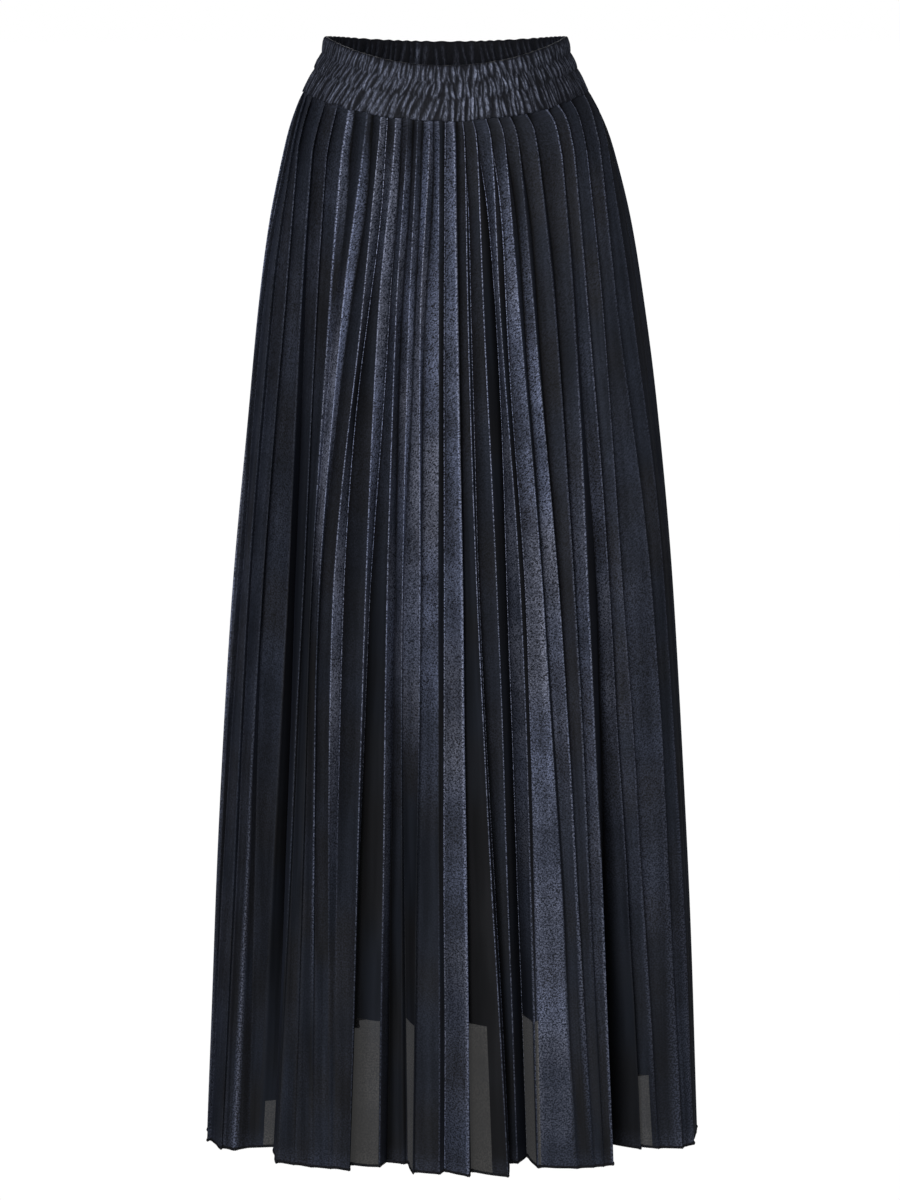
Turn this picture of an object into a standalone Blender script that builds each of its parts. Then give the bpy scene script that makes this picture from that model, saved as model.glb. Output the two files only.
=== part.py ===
"""A long pleated skirt of thin shiny cloth on a gathered elastic waistband.

Metres, +Z up. The skirt is hollow and filled out, as it is when it is worn. Its front
faces -Y, and the origin is the middle of the waist opening, level with the two sides of
the waistband. The waistband is one round piece with three puffed tiers. A front and a
back panel hang from it, each folded into upright pleats from the waist seam to the hem.

A place on the skirt is a bearing round it (0 at the front, 90 at the right side, 180 at
the back) and a share of the way down from the waist seam (0) to the hem (1).
"""

import math
import random
from collections import namedtuple

import bmesh
import bpy

# ---- cloth and seams
CLOTH_WALL = 0.0011      # wall of the pleated cloth
FOLD_WIDTH = 0.0016      # rounded strip at each fold
SEAM_GAP = 0.0006        # space between the waistband and the cloth below it
SIDE_GAP = 0.0004        # space between the two panels at a side seam

# ---- waistband
BAND_HEIGHT = 0.046
BAND_WALL = 0.0022       # elastic and its cover, without the gathers
BAND_GATHERS = 96
GATHER_DRIFT = 0.22      # unevenness of the gathers, as a share of their pitch
GATHER_SEED = 5
RIM_DIP_FRONT = 0.0218   # how far the rim hangs below the two sides
RIM_DIP_BACK = 0.0068

# ---- hem
HEM_DROP = 1.007         # from the sides of the waist to the hem, front and sides
HEM_RISE_BACK = 0.035    # the hem is higher at the middle of the back

# ---- pleats
TOP_DEPTH = 0.0042       # depth of every pleat where the waistband presses it flat
TOP_SHARE = 0.045        # shares of the way down at which the pleats are given below
HIP_SHARE = 0.18
MID_SHARE = 0.47
BACK_PLEATS = 26
BACK_LAP_TOP = -0.003    # how far the back pleats are tucked under at the seam
BACK_SEED = 11

MILLIMETRE = 0.001

# Outer size of the skirt, level by level: half its width, how far it reaches to the front
# and to the back of its widest line, and how far the middle of that line lies off centre.
Section = namedtuple("Section", "drop half_width front back shift_x shift_y")
SECTIONS = [
    Section(0.000, 0.1065, 0.0812, 0.0825, 0.0000, 0.0000),
    Section(0.015, 0.1098, 0.0828, 0.0838, 0.0000, 0.0000),
    Section(0.046, 0.1258, 0.0862, 0.0880, 0.0000, 0.0000),
    Section(0.075, 0.1381, 0.0885, 0.0940, 0.0016, -0.0010),
    Section(0.100, 0.1460, 0.0905, 0.1010, 0.0027, -0.0020),
    Section(0.161, 0.1602, 0.0945, 0.1190, 0.0041, -0.0040),
    Section(0.232, 0.1713, 0.0975, 0.1380, 0.0051, -0.0060),
    Section(0.322, 0.1820, 0.1005, 0.1590, 0.0061, -0.0085),
    Section(0.504, 0.1998, 0.1050, 0.1950, 0.0063, -0.0145),
    Section(0.737, 0.2152, 0.1080, 0.2320, 0.0063, -0.0215),
    Section(1.010, 0.2286, 0.1102, 0.2650, 0.0064, -0.0300),
]

# Front pleats from the left to the right, in millimetres. Each has the place of its outer
# fold across the skirt at the seam, hip, middle and hem. The inner fold on its right lies a
# lap further round (negative where it is tucked under), at its own depth. The outer fold of
# some pleats is also set back at the hem.
Pleat = namedtuple(
    "Pleat", "top hip mid hem  lap_top lap_mid lap_hem  deep_mid deep_hem  set_back")
FRONT_PLEATS = [
    Pleat(-139, -163, -189, -219, -3, -4, -4, 10, 10, 0),
    Pleat(-135, -154, -178, -208, -3, -4, -3, 10, 12, 0),
    Pleat(-130, -141, -164, -193, -4, -8, 7, 10, 24, 6),
    Pleat(-117, -127, -142, -172, -4, -5, 13, 22, 34, 26),
    Pleat(-104, -113, -128, -155, -3, -2, 2, 7, 5, 0),
    Pleat(-93, -102, -120, -139, -2, -2, 2, 6, 4, 0),
    Pleat(-73, -90, -113, -122, 3, -2, 2, 8, 4, 0),
    Pleat(-60, -69, -104, -105, 4, 6, 3, 12, 5, 0),
    Pleat(-46, -57, -72, -87, 4, 0, -4, 12, 14, 0),
    Pleat(-35, -40, -52, -60, 4, 5, 4, 14, 29, 15),
    Pleat(-26, -32, -39, -39, 4, 0, 4, 8, 28, 24),
    Pleat(-15, -22, -23, -30, 3, 0, 0, 8, 6, 0),
    Pleat(-5, -5, -4, -4, 4, 2, 1, 7, 8, 0),
    Pleat(8, 10, 15, 21, 2, 0, 1, 8, 8, -5),
    Pleat(17, 18, 28, 56, -3, 2, 5, 11, 26, -8),
    Pleat(28, 33, 46, 61, -3, 9, 8, 18, 40, 24),
    Pleat(41, 47, 67, 79, -3, 2, 3, 8, 12, 10),
    Pleat(53, 64, 85, 116, -3, 2, 3, 8, 10, 0),
    Pleat(65, 77, 102, 130, -3, 2, 3, 8, 8, 0),
    Pleat(81, 95, 115, 141, -3, 2, 2, 10, 8, 0),
    Pleat(101, 112, 127, 152, -3, 18, 20, 18, 56, 0),
    Pleat(112, 124, 147, 177, -3, 3, 3, 12, 32, 25),
    Pleat(123, 137, 162, 194, -3, 3, 3, 10, 14, 6),
    Pleat(135, 150, 182, 213, -3, 2, 2, 9, 9, 0),
    Pleat(142, 163, 196, 224, -3, 1, 2, 8, 5, 0),
]

# Shares of the way down at which the cloth has a row of points.
PANEL_ROWS = [0.0, 0.035, 0.10, 0.19, 0.31, 0.45, 0.61, 0.78, 0.91, 1.0]

# Outer rings of the waistband: share of its height, height of the gathers, puff of the tier.
BandRing = namedtuple("BandRing", "share gather puff")
BAND_RINGS = [
    BandRing(0.00, 0.0006, -0.0003),
    BandRing(0.14, 0.0017, 0.0008),
    BandRing(0.29, 0.0005, -0.0002),
    BandRing(0.44, 0.0018, 0.0006),
    BandRing(0.59, 0.0005, -0.0008),
    BandRing(0.73, 0.0020, -0.0006),
    BandRing(0.87, 0.0019, -0.0002),
    BandRing(1.00, 0.0009, -0.0005),
]
INNER_BAND_SHARES = [1.0, 0.5, 0.0]


def smooth_value(knots, values, at):
    """Value at one place of the smooth curve through values given at rising knots."""
    at = min(max(at, knots[0]), knots[-1])
    last = len(knots) - 2
    span = next((k for k in range(last + 1) if at <= knots[k + 1]), last)

    def slope(k):
        before, after = max(k - 1, 0), min(k + 1, len(knots) - 1)
        return (values[after] - values[before]) / (knots[after] - knots[before])

    width = knots[span + 1] - knots[span]
    t = (at - knots[span]) / width
    return (values[span] * (1 + 2 * t) * (1 - t) ** 2
            + values[span + 1] * t * t * (3 - 2 * t)
            + slope(span) * width * t * (1 - t) ** 2
            + slope(span + 1) * width * t * t * (t - 1))


def section_at(drop):
    """Outer size of the skirt at one level below the sides of the waist."""
    drops = [section.drop for section in SECTIONS]
    sizes = [smooth_value(drops, column, drop) for column in list(zip(*SECTIONS))[1:]]
    return Section(drop, *sizes)


def rim_drop(bearing):
    """How far the rim of the waistband lies below its sides at one bearing."""
    dip = RIM_DIP_FRONT if math.cos(bearing) > 0 else RIM_DIP_BACK
    return dip * math.cos(bearing) ** 2


def cloth_drop(bearing, share):
    """Level of the pleated cloth at one bearing and share of the way down."""
    seam = rim_drop(bearing) + BAND_HEIGHT + SEAM_GAP
    rise = HEM_RISE_BACK * max(-math.cos(bearing), 0.0) ** 2
    return seam + (HEM_DROP - rise - seam) * share


def inward(section, bearing):
    """Direction across the ring that points to the inside of the skirt."""
    reach = section.front if math.cos(bearing) > 0 else section.back
    x = -reach * math.sin(bearing)
    y = section.half_width * math.cos(bearing)
    length = math.hypot(x, y)
    return x / length, y / length


def ring_point(section, bearing, inset):
    """Point of the ring at one bearing, moved in by its inset."""
    reach = section.front if math.cos(bearing) > 0 else section.back
    in_x, in_y = inward(section, bearing)
    return (section.shift_x + section.half_width * math.sin(bearing) + inset * in_x,
            section.shift_y - reach * math.cos(bearing) + inset * in_y)


def along_ring(section, length, bearing):
    """Change of bearing that goes with a length along the ring."""
    reach = section.front if math.cos(bearing) > 0 else section.back
    return length / math.hypot(section.half_width * math.cos(bearing),
                               reach * math.sin(bearing))


def front_bearing(across, inset, share):
    """Bearing at which a fold with this inset stands at this place across the front."""
    bearing = 0.0
    for _ in range(12):
        section = section_at(cloth_drop(bearing, share))
        in_x = inward(section, bearing)[0]
        sine = (across - section.shift_x - inset * in_x) / section.half_width
        bearing = math.asin(min(max(sine, -0.999), 0.999))
    return bearing


def inner_fold(outer, share, lap, depth):
    """Bearing and inset of the inner fold on the right of an outer fold."""
    section = section_at(cloth_drop(outer, share))
    return outer + along_ring(section, lap, outer), depth


def front_folds(share):
    """Bearing and inset of each front fold, outer and inner in turn, at one share."""
    folds = []
    level = max(share, TOP_SHARE)
    squeeze = (section_at(cloth_drop(0.0, share)).half_width
               / section_at(cloth_drop(0.0, level)).half_width)
    lean_back = max((share - HIP_SHARE) / (1 - HIP_SHARE), 0.0) ** 2
    for pleat in FRONT_PLEATS:
        across = smooth_value([TOP_SHARE, HIP_SHARE, MID_SHARE, 1],
                              [pleat.top, pleat.hip, pleat.mid, pleat.hem], level)
        lap = smooth_value([0, MID_SHARE, 1], [pleat.lap_top, pleat.lap_mid, pleat.lap_hem],
                           share)
        depth = smooth_value([0, MID_SHARE, 1],
                             [TOP_DEPTH / MILLIMETRE, pleat.deep_mid, pleat.deep_hem], share)
        set_back = pleat.set_back * lean_back * MILLIMETRE
        outer = front_bearing(across * squeeze * MILLIMETRE, set_back, share)
        folds.append((outer, set_back))
        folds.append(inner_fold(outer, share, lap * MILLIMETRE, depth * MILLIMETRE))
    return folds


def back_folds(share):
    """Bearing and inset of each back fold, outer and inner in turn, at one share."""
    uneven = random.Random(BACK_SEED)
    pitch = math.pi / BACK_PLEATS
    folds = []
    for number in range(BACK_PLEATS):
        drift_top, drift_hem = uneven.uniform(-0.12, 0.12), uneven.uniform(-0.22, 0.22)
        lap_mid, lap_hem = uneven.uniform(-0.002, 0.005), uneven.uniform(0.0, 0.010)
        deep_mid, deep_hem = uneven.uniform(0.008, 0.014), uneven.uniform(0.010, 0.030)
        drift = drift_top + (drift_hem - drift_top) * share
        outer = math.pi / 2 + pitch * (number + 0.6 + drift)
        lap = smooth_value([0, MID_SHARE, 1], [BACK_LAP_TOP, lap_mid, lap_hem], share)
        depth = smooth_value([0, MID_SHARE, 1], [TOP_DEPTH, deep_mid, deep_hem], share)
        folds.append((outer, 0.0))
        folds.append(inner_fold(outer, share, lap, depth))
    return folds


def unit(x, y):
    """The same direction with a length of one."""
    length = math.hypot(x, y)
    return x / length, y / length


def folded_path(share):
    """Points round the whole skirt at one share, two for each fold, and the bearings."""
    folds = front_folds(share) + back_folds(share)
    drops = [cloth_drop(bearing, share) for bearing, _ in folds]
    places = [ring_point(section_at(drop), bearing, inset)
              for drop, (bearing, inset) in zip(drops, folds)]
    points = []
    for number, (x, y) in enumerate(places):
        before_x, before_y = places[number - 1]
        after_x, after_y = places[(number + 1) % len(places)]
        in_x, in_y = unit(x - before_x, y - before_y)
        out_x, out_y = unit(after_x - x, after_y - y)
        along_x, along_y = unit(in_x + out_x, in_y + out_y)
        for side in (-0.5, 0.5):
            step = side * FOLD_WIDTH
            points.append((x + step * along_x, y + step * along_y, -drops[number]))
    return points


def between(start, end, share):
    """Point between two points."""
    return tuple(a + (b - a) * share for a, b in zip(start, end))


def panel_row(path, first, last):
    """One row of a panel, with its two ends in the side seams beside the path's points."""
    count = len(path)
    row = [path[number % count] for number in range(first, last)]
    ends = []
    for seam_from, seam_to, toward in (
            (path[(first - 1) % count], row[0], 0.5),
            (row[-1], path[last % count], -0.5)):
        half_gap = SIDE_GAP * toward / math.dist(seam_from, seam_to)
        ends.append(between(seam_from, seam_to, 0.5 + half_gap))
    return [ends[0]] + row + [ends[1]]


def cloth_material(name, colour, roughness):
    """Plain finish of one piece: colour, roughness and a slight metal look."""
    material = bpy.data.materials.new(name)
    material.use_nodes = True
    shader = material.node_tree.nodes["Principled BSDF"]
    shader.inputs["Base Color"].default_value = (*colour, 1.0)
    shader.inputs["Roughness"].default_value = roughness
    shader.inputs["Metallic"].default_value = 0.2
    return material


def add_object(name, rings, closed, material, collection):
    """Object with a face between each two neighbours of two neighbouring rings."""
    mesh = bpy.data.meshes.new(name)
    shape = bmesh.new()
    rows = [[shape.verts.new(point) for point in ring] for ring in rings]
    columns = len(rows[0])
    spans = range(columns if closed else columns - 1)
    pairs = list(zip(rows, rows[1:]))
    if closed:
        pairs.append((rows[-1], rows[0]))
    for upper, lower in pairs:
        for k in spans:
            after = (k + 1) % columns
            shape.faces.new((upper[k], lower[k], lower[after], upper[after]))
    shape.to_mesh(mesh)
    shape.free()
    mesh.shade_smooth()
    mesh.set_sharp_from_angle(angle=math.radians(35))
    mesh.materials.append(material)
    piece = bpy.data.objects.new(name, mesh)
    collection.objects.link(piece)
    return piece


def add_panel(name, rows, material, collection):
    """Pleated panel: an open folded sheet with an even wall."""
    panel = add_object(name, rows, False, material, collection)
    wall = panel.modifiers.new("wall", "SOLIDIFY")
    wall.thickness = CLOTH_WALL
    wall.offset = 0.0
    wall.use_even_offset = True
    return panel


def band_bearings(ring_number):
    """Bearings of the gathers on one ring, crest and dip in turn, uneven and leaning."""
    uneven = random.Random(GATHER_SEED)
    pitch = math.tau / BAND_GATHERS
    bearings = []
    for number in range(BAND_GATHERS):
        drift = uneven.uniform(-GATHER_DRIFT, GATHER_DRIFT)
        lean = uneven.uniform(-GATHER_DRIFT, GATHER_DRIFT) * math.cos(ring_number * 1.6)
        crest = pitch * (number + 0.5 * (drift + lean))
        bearings += [crest, crest + pitch * 0.5]
    return bearings


def band_ring_point(bearing, share, raised):
    """Point of the waistband at one bearing and share of its height."""
    drop = rim_drop(bearing) + BAND_HEIGHT * share
    x, y = ring_point(section_at(drop), bearing, -raised)
    return x, y, -drop


def waistband_rings():
    """Rings round the wall of the waistband: up its plain inside, then down its outside."""
    rings = []
    for share in INNER_BAND_SHARES:
        rings.append([band_ring_point(bearing, share, -BAND_WALL)
                      for bearing in band_bearings(0)])
    for number, ring in enumerate(BAND_RINGS):
        points = []
        for k, bearing in enumerate(band_bearings(number)):
            crest = ring.gather if k % 2 == 0 else 0.0
            points.append(band_ring_point(bearing, ring.share, ring.puff + crest))
        rings.append(points)
    return rings


def build():
    """Make the three pieces of the skirt in their own collection."""
    for old in list(bpy.data.objects):
        bpy.data.objects.remove(old, do_unlink=True)
    collection = bpy.data.collections.new("pleated maxi skirt")
    bpy.context.scene.collection.children.link(collection)

    add_object("waistband", waistband_rings(), True,
               cloth_material("gathered cloth", (0.020, 0.023, 0.034), 0.50), collection)

    paths = [folded_path(share) for share in PANEL_ROWS]
    front_points = 4 * len(FRONT_PLEATS)
    all_points = front_points + 4 * BACK_PLEATS
    add_panel("front_panel", [panel_row(path, 0, front_points) for path in paths],
              cloth_material("front pleated cloth", (0.012, 0.014, 0.022), 0.35), collection)
    add_panel("back_panel", [panel_row(path, front_points, all_points) for path in paths],
              cloth_material("back pleated cloth", (0.010, 0.012, 0.020), 0.35), collection)


build()
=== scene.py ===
"""A long pleated skirt of thin shiny cloth on a gathered elastic waistband, fully dressed.

Metres, +Z up, the front of the skirt faces -Y. The skirt is hollow and filled out, as it is
when it is worn. A place on it is a bearing round it (0 at the front, 90 degrees at the right
side, 180 at the back) and a share of the way down from the waist seam (0) to the hem (1).
"""

import functools
import logging
import math
import random
from dataclasses import dataclass, field
from enum import Enum
from typing import Sequence

import bpy
import numpy as np
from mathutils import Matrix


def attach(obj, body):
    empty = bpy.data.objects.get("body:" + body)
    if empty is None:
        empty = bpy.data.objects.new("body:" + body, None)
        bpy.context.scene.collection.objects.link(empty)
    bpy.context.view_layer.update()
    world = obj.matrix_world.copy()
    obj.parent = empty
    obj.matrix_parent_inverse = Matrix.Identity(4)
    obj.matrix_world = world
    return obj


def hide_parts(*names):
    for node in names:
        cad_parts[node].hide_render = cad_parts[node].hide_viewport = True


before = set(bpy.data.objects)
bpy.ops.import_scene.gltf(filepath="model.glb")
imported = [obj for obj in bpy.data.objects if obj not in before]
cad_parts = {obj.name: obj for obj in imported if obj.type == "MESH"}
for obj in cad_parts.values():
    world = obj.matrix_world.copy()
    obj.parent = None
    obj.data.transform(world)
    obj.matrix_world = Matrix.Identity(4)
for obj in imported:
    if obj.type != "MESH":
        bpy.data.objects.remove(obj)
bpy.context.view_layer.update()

LOG = logging.getLogger("skirt")
MM = 0.001
Array = np.ndarray
Socket = bpy.types.NodeSocket
Colour = tuple[float, float, float, float]


# ---- small helpers -------------------------------------------------------------------

def smooth_curve(knots: Sequence[float], values: Sequence[float], at: Array) -> Array:
    """Smooth curve through values given at rising knots.

    Args:
        knots: rising places at which the values are given.
        values: one value for each knot.
        at: places to read the curve at; outside the knots it keeps its end values.

    Returns:
        The curve's value at each place.
    """
    knots, values = np.asarray(knots, float), np.asarray(values, float)
    at = np.clip(np.asarray(at, float), knots[0], knots[-1])
    last = len(knots) - 1
    before = np.maximum(np.arange(last + 1) - 1, 0)
    after = np.minimum(np.arange(last + 1) + 1, last)
    slopes = (values[after] - values[before]) / (knots[after] - knots[before])
    span = np.clip(np.searchsorted(knots, at, side="left") - 1, 0, last - 1)
    width = knots[span + 1] - knots[span]
    t = (at - knots[span]) / width
    return (values[span] * (1 + 2 * t) * (1 - t) ** 2 + values[span + 1] * t * t * (3 - 2 * t)
            + slopes[span] * width * t * (1 - t) ** 2
            + slopes[span + 1] * width * t * t * (t - 1))


def ease(start: float, end: float, at: Array) -> Array:
    """Rises smoothly from 0 at start to 1 at end."""
    t = np.clip((np.asarray(at, float) - start) / (end - start), 0.0, 1.0)
    return t * t * (3 - 2 * t)


def unit(vectors: Array) -> Array:
    """The same directions with a length of one, along the last axis."""
    return vectors / np.maximum(np.linalg.norm(vectors, axis=-1, keepdims=True), 1e-12)


def grid_faces(rows: int, columns: int, closed: bool) -> Array:
    """Four corners of each face of a grid of points.

    Args:
        rows: number of rows, from the top down.
        columns: number of points in a row.
        closed: True where the last point of a row joins the first.

    Returns:
        One line of four point numbers for each face, wound to face outwards.
    """
    across = np.arange(columns if closed else columns - 1)
    upper = (np.arange(rows - 1)[:, None] * columns + across[None, :]).ravel()
    after = (np.arange(rows - 1)[:, None] * columns + ((across + 1) % columns)[None, :]).ravel()
    return np.stack([upper, upper + columns, after + columns, after], 1)


def add_mesh(name: str, points: Array, faces: Array) -> bpy.types.Object:
    """New object with these points and four-cornered faces, smooth all over.

    Args:
        name: the object's name.
        points: one line of three coordinates for each point, in metres.
        faces: one line of four point numbers for each face.

    Returns:
        The object, linked into the scene.
    """
    mesh = bpy.data.meshes.new(name)
    mesh.vertices.add(len(points))
    mesh.vertices.foreach_set("co", np.asarray(points, np.float32).ravel())
    mesh.loops.add(faces.size)
    mesh.loops.foreach_set("vertex_index", faces.ravel().astype(np.int32))
    mesh.polygons.add(len(faces))
    mesh.polygons.foreach_set("loop_start", np.arange(0, faces.size, 4, dtype=np.int32))
    mesh.polygons.foreach_set("use_smooth", np.ones(len(faces), bool))
    mesh.update(calc_edges=True)
    mesh.validate()
    piece = bpy.data.objects.new(name, mesh)
    bpy.context.scene.collection.objects.link(piece)
    return piece


def add_attribute(piece: bpy.types.Object, name: str, values: Array) -> None:
    """Stores one number for each point of the piece, for its material to read."""
    attribute = piece.data.attributes.new(name, "FLOAT", "POINT")
    attribute.data.foreach_set("value", np.asarray(values, np.float32).ravel())


def add_cloth_map(piece: bpy.types.Object, along: Array, down: Array) -> None:
    """Lays the flat cloth's own coordinates, in metres, on the piece as its UV map.

    Args:
        piece: the piece of cloth.
        along: how far along the flat cloth each point lies.
        down: how far down the flat cloth each point lies.
    """
    corners = np.empty(len(piece.data.loops), np.int32)
    piece.data.loops.foreach_get("vertex_index", corners)
    flat = np.stack([np.ravel(along)[corners], np.ravel(down)[corners]], 1)
    layer = piece.data.uv_layers.new(name="cloth")
    layer.data.foreach_set("uv", flat.astype(np.float32).ravel())


# ---- the skirt's form ----------------------------------------------------------------

@dataclass(frozen=True)
class Section:
    """Outer size of the skirt at one level below the two sides of its waist."""

    drop: float
    half_width: float
    front: float
    back: float
    shift_x: float
    shift_y: float


SECTIONS = (
    Section(0.000, 0.1065, 0.0812, 0.0825, 0.0000, 0.0000),
    Section(0.015, 0.1098, 0.0828, 0.0838, 0.0000, 0.0000),
    Section(0.046, 0.1258, 0.0862, 0.0880, 0.0000, 0.0000),
    Section(0.075, 0.1391, 0.0885, 0.0940, 0.0016, -0.0010),
    Section(0.100, 0.1470, 0.0905, 0.1010, 0.0027, -0.0020),
    Section(0.161, 0.1614, 0.0945, 0.1190, 0.0041, -0.0040),
    Section(0.232, 0.1726, 0.0975, 0.1380, 0.0051, -0.0060),
    Section(0.322, 0.1834, 0.1005, 0.1590, 0.0061, -0.0085),
    Section(0.504, 0.2018, 0.1050, 0.1950, 0.0063, -0.0145),
    Section(0.737, 0.2170, 0.1080, 0.2320, 0.0063, -0.0215),
    Section(1.010, 0.2298, 0.1102, 0.2650, 0.0064, -0.0300),
)


@dataclass(frozen=True)
class Pleat:
    """One front pleat, in millimetres.

    The outer fold stands at these places across the skirt at the seam, hip, middle and hem.
    The inner fold on its right lies a lap further round, at its own depth. The shine is painted
    light, a figure from 0 to 9 at eight levels, for the painted lit cloth on the right of the outer
    fold, for the cloth that rises from the inner fold to the next outer one, and, as a painted
    highlight, for the outer fold's own edge. Sheer faces, or the sheer share of one, show as
    windows near the hem, where only one layer hangs, from a share of the way down. Some pleats
    show a second painted highlight, a bright line on the inner fold.
    """

    top: float
    hip: float
    mid: float
    hem: float
    lap_top: float
    lap_high: float
    lap_low: float
    lap_mid: float
    lap_hem: float
    deep_mid: float
    deep_hem: float
    set_back: float
    shine_right: str
    shine_left: str
    shine_edge: str
    round: float
    sheer_right: bool = False
    sheer_left: float = 0.0
    sheer_from: float = 0.845
    shine_inner: str = "00000000"


# The shine figures of this table are painted light: painted lit faces and painted highlights on the
# folds.
FRONT_PLEATS = (
    Pleat(-139, -164, -190, -221, -3, -3, -3, -4, -4, 6, 3, 0,
          "22222111", "22222221", "00000000", 3.6),
    Pleat(-135, -154, -178, -208, -3, -3, -3, -4, -3, 6, 4, 0,
          "22222211", "22222212", "00000000", 3.8),
    Pleat(-130, -141, -165, -196, -4, -4, -5, -8, 7, 10, 20, 6,
          "22222111", "22222110", "01100122", 4.0),
    Pleat(-117, -127, -142, -172, -4, -4, -4, -5, 13, 22, 34, 26,
          "11110000", "22210000", "01100000", 4.0, sheer_right=True, sheer_from=0.949),
    Pleat(-104, -113, -128, -155, -3, -3, -3, -2, 2, 7, 2, 0,
          "22110001", "22110011", "11111100", 3.6),
    Pleat(-91, -102, -120, -139, 4, 7, 1, -2, 2, 6, 1.5, 0,
          "64191011", "11291111", "34310000", 2.0),
    Pleat(-73, -90, -113, -122, 3, 8, 2, -2, 2, 8, 1.5, 0,
          "17891111", "11111111", "14551300", 1.6),
    Pleat(-60, -73, -101, -105, 4, 7, 2, 6, 3, 12, 2, 0,
          "75409311", "14111111", "56785100", 1.0, shine_inner="56785100"),
    Pleat(-46, -58.5, -72, -87, 4, 7, 7.5, 1, -4, 12, 14, 0,
          "67665210", "22320000", "44545310", 1.2, sheer_left=1.0,
          shine_inner="00366100"),
    Pleat(-35, -43.5, -52, -60, 4, 5, 4, 5, 4, 14, 29, 15,
          "16425621", "12564100", "03464311", 1.0),
    Pleat(-26, -32, -39, -39, 4, 5, 4, 0, 4, 8, 28, 24,
          "13785100", "58475000", "13453000", 1.0, sheer_left=1.0),
    Pleat(-15, -22, -23, -30, 3, 5, 2, 0, 0, 8, 6, 0,
          "53655211", "56676111", "33453000", 1.0),
    Pleat(-6, -6.5, -6.5, -6, 5, 5, 4.5, 4.5, 4.5, 7, 8, 0,
          "01100000", "56655543", "11000011", 1.0, shine_inner="43344433"),
    Pleat(8, 10, 15, 21, 2, 2, 1, 0, 1, 8, 8, -5,
          "11111111", "11110000", "33346543", 3.0, sheer_left=0.6),
    Pleat(17, 19.5, 29, 56, -3, 2, 2, 2, 5, 11, 26, -8,
          "11110000", "11111100", "68888641", 0.8, shine_inner="68888641"),
    Pleat(28, 33, 46, 65, -3, 8, 13, 11, 12.5, 18, 40, 24,
          "00000000", "23555400", "87764432", 0.8, sheer_left=1.0,
          shine_inner="05788653"),
    Pleat(41, 47, 67, 83, -3, 6, 6, 5, 3, 8, 12, 10,
          "01000011", "14646572", "68653221", 1.0, sheer_right=True,
          shine_inner="68653221"),
    Pleat(53, 64, 87, 119, -3, 6, 4, 4, 3, 8, 2, 0,
          "11110011", "11466210", "54323100", 1.2),
    Pleat(65, 77, 102, 133, -3, 5, 3, 2, 3, 8, 2, 0,
          "11111111", "11111110", "31112420", 1.6),
    Pleat(81, 95, 115, 142, -3, 4, 3, 2, 2, 10, 2, 0,
          "11111111", "11114420", "31112200", 2.0),
    Pleat(101, 112, 127, 152, -3, 4, 8, 18, 20, 18, 56, 0,
          "11110000", "11124200", "72123143", 2.0),
    Pleat(112, 124, 147, 179, -3, 3, 3, 3, 3, 12, 32, 25,
          "11111111", "11112210", "62221100", 2.0, sheer_left=1.0, sheer_from=0.921),
    Pleat(123, 137, 159, 196, -3, 3, 3, 3, 3, 8, 18, 17,
          "11111111", "11112311", "54221110", 1.2),
    Pleat(135, 150, 185, 217, -3, 2, 2, 2, 2, 6, 6, 4,
          "11111111", "11111122", "43111111", 2.4),
    Pleat(142, 163, 198, 230, -3, 1, 1, 1, 2, 6, 4, 0,
          "11111111", "11111111", "21111111", 2.4),
)

LAP_SHARES = (0.0, 0.09, 0.25, 0.47, 1.0)
SHINE_SHARES = (0.02, 0.08, 0.16, 0.27, 0.47, 0.66, 0.84, 1.0)


@dataclass(frozen=True)
class Folds:
    """Folds round the skirt, outer and inner in turn, one row for each level."""

    bearing: Array
    inset: Array


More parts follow.
